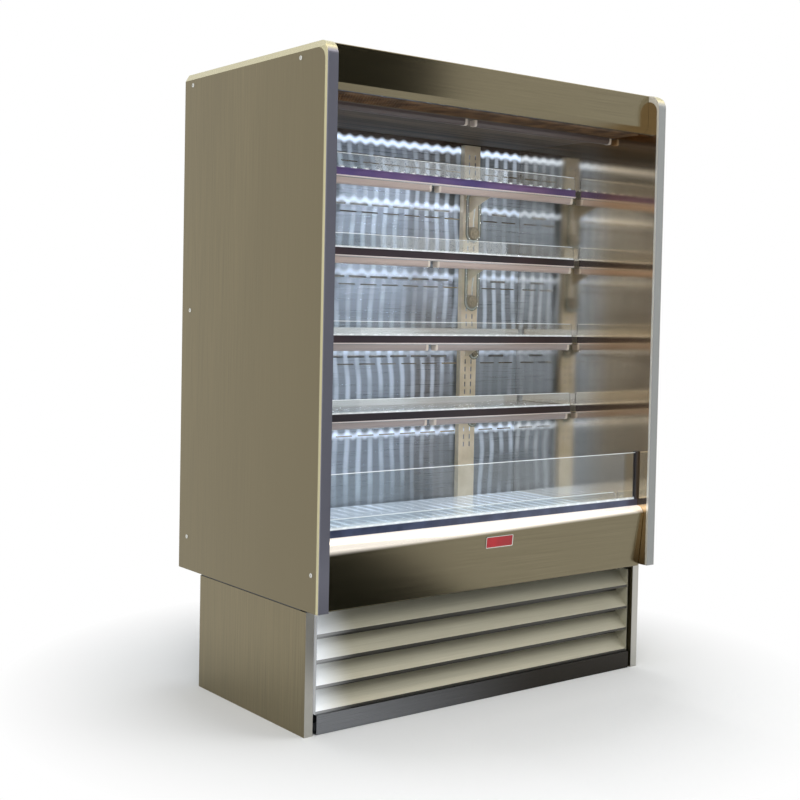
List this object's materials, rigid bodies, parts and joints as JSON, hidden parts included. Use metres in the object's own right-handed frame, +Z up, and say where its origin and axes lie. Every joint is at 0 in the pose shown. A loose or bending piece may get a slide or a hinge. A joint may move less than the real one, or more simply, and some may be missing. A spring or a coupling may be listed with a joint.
{
  "type": "open multideck display fridge",
  "caption": "Open-fronted multideck display fridge: insulated ends, lit shelves with clear stops, clear front guard, leaning nose panel and louvred plinth.",
  "frame": {"origin": "on the floor, under the middle of the case's width and depth", "axes": "+X to the right as seen from the open front, +Y to the back, +Z up"},
  "size_m": [1.2998, 0.776, 1.846],
  "materials": {
    "side_steel": "vertical brushed stainless",
    "front_steel": "brushed stainless",
    "inner_steel": "bright brushed stainless",
    "deck_steel": "bright stainless",
    "base_steel": "semi-gloss",
    "galvanised": "galvanised",
    "trim": "satin",
    "foam": "matte",
    "upright_paint": "satin",
    "honeycomb": "matte",
    "lamp": "frosted lens",
    "channel": "satin black",
    "clear": "clear",
    "tag_strip": "gloss",
    "lead": "clear grey",
    "fins": "mill",
    "fan": "matte",
    "black_paint": "satin black",
    "knob": "satin black",
    "screw": "polished"
  },
  "bodies": {
    "case": {"end_skin_left": "side_steel", "end_skin_right": "side_steel", "end_liner_left": "inner_steel", "end_liner_right": "inner_steel", "end_trim_left": "trim", "end_trim_right": "trim", "roof_panel": "galvanised", "back_panel": "galvanised", "cabinet_liner": "inner_steel", "cabinet_insulation": "foam", "ceiling_panel": "inner_steel", "rear_duct_panel": "inner_steel", "uprights": "upright_paint", "canopy_front": "front_steel", "air_discharge_honeycomb": "honeycomb", "canopy_lamps": "lamp", "nose_panel": "front_steel", "guard_channel": "channel", "front_guard": "clear", "lamp_leads": "lead", "base_frame": "base_steel", "base_side_panels": "side_steel", "kick_plate": "front_steel", "base_rear_panel": "galvanised", "condenser_coil": "fins", "condenser_fan_mount": "base_steel", "compressor": "black_paint", "evaporator_coil": "fins", "fan_baffle": "inner_steel", "evaporator_fan_motor": "black_paint", "control_box": "galvanised", "panel_screws": "screw"},
    "louvred_grille": {"louvred_grille": "front_steel"},
    "condenser_fan": {"condenser_fan": "fan"},
    "evaporator_fan": {"evaporator_fan": "fan"},
    "thermostat_knob": {"thermostat_knob": "knob"},
    "light_switch": {"light_switch": "knob"},
    "deck": {"deck_pan": "deck_steel", "deck_front_stop": "clear"},
    "return_air_grille": {"return_air_grille": "inner_steel"},
    "shelf_1": {"shelf_1": "deck_steel", "shelf_1_brackets": "upright_paint", "shelf_1_tag_moulding": "tag_strip", "shelf_1_front_stop": "clear", "shelf_1_lamps": "lamp"},
    "shelf_2": {"shelf_2": "deck_steel", "shelf_2_brackets": "upright_paint", "shelf_2_tag_moulding": "tag_strip", "shelf_2_front_stop": "clear", "shelf_2_lamps": "lamp"},
    "shelf_3": {"shelf_3": "deck_steel", "shelf_3_brackets": "upright_paint", "shelf_3_tag_moulding": "tag_strip", "shelf_3_front_stop": "clear", "shelf_3_lamps": "lamp"},
    "shelf_4": {"shelf_4": "deck_steel", "shelf_4_brackets": "upright_paint", "shelf_4_tag_moulding": "tag_strip", "shelf_4_front_stop": "clear", "shelf_4_lamps": "lamp"}
  },
  "joints": [
    {"name": "condenser_fan_spin", "type": "hinge", "parent": "case", "child": "condenser_fan", "pos_m": [0.315, -0.134, 0.158], "axis": [0, 1, 0], "continuous": true},
    {"name": "evaporator_fan_spin", "type": "hinge", "parent": "case", "child": "evaporator_fan", "pos_m": [0, -0.228, 0.4397], "axis": [0, 1, 0], "continuous": true},
    {"name": "thermostat_turn", "type": "hinge", "parent": "case", "child": "thermostat_knob", "pos_m": [-0.52, -0.228, 0.215], "axis": [0, 1, 0], "range_deg": [0, 270]},
    {"name": "light_switch_rock", "type": "hinge", "parent": "case", "child": "light_switch", "pos_m": [-0.442, -0.223, 0.215], "axis": [1, 0, 0], "range_deg": [0, 16]},
    {"name": "louvred_grille_lift", "type": "slide", "parent": "case", "child": "louvred_grille", "axis": [0, 0, 1], "range_m": [0, 0.008]},
    {"name": "deck_lift", "type": "slide", "parent": "case", "child": "deck", "axis": [0, 0, 1], "range_m": [0, 0.12]},
    {"name": "return_grille_lift", "type": "slide", "parent": "case", "child": "return_air_grille", "axis": [0, 0, 1], "range_m": [0, 0.1]},
    {"name": "shelf_1_lift", "type": "slide", "parent": "case", "child": "shelf_1", "axis": [0, 0, 1], "range_m": [0, 0.0065]},
    {"name": "shelf_2_lift", "type": "slide", "parent": "case", "child": "shelf_2", "axis": [0, 0, 1], "range_m": [0, 0.0065]},
    {"name": "shelf_3_lift", "type": "slide", "parent": "case", "child": "shelf_3", "axis": [0, 0, 1], "range_m": [0, 0.0065]},
    {"name": "shelf_4_lift", "type": "slide", "parent": "case", "child": "shelf_4", "axis": [0, 0, 1], "range_m": [0, 0.0065]}
  ]
}
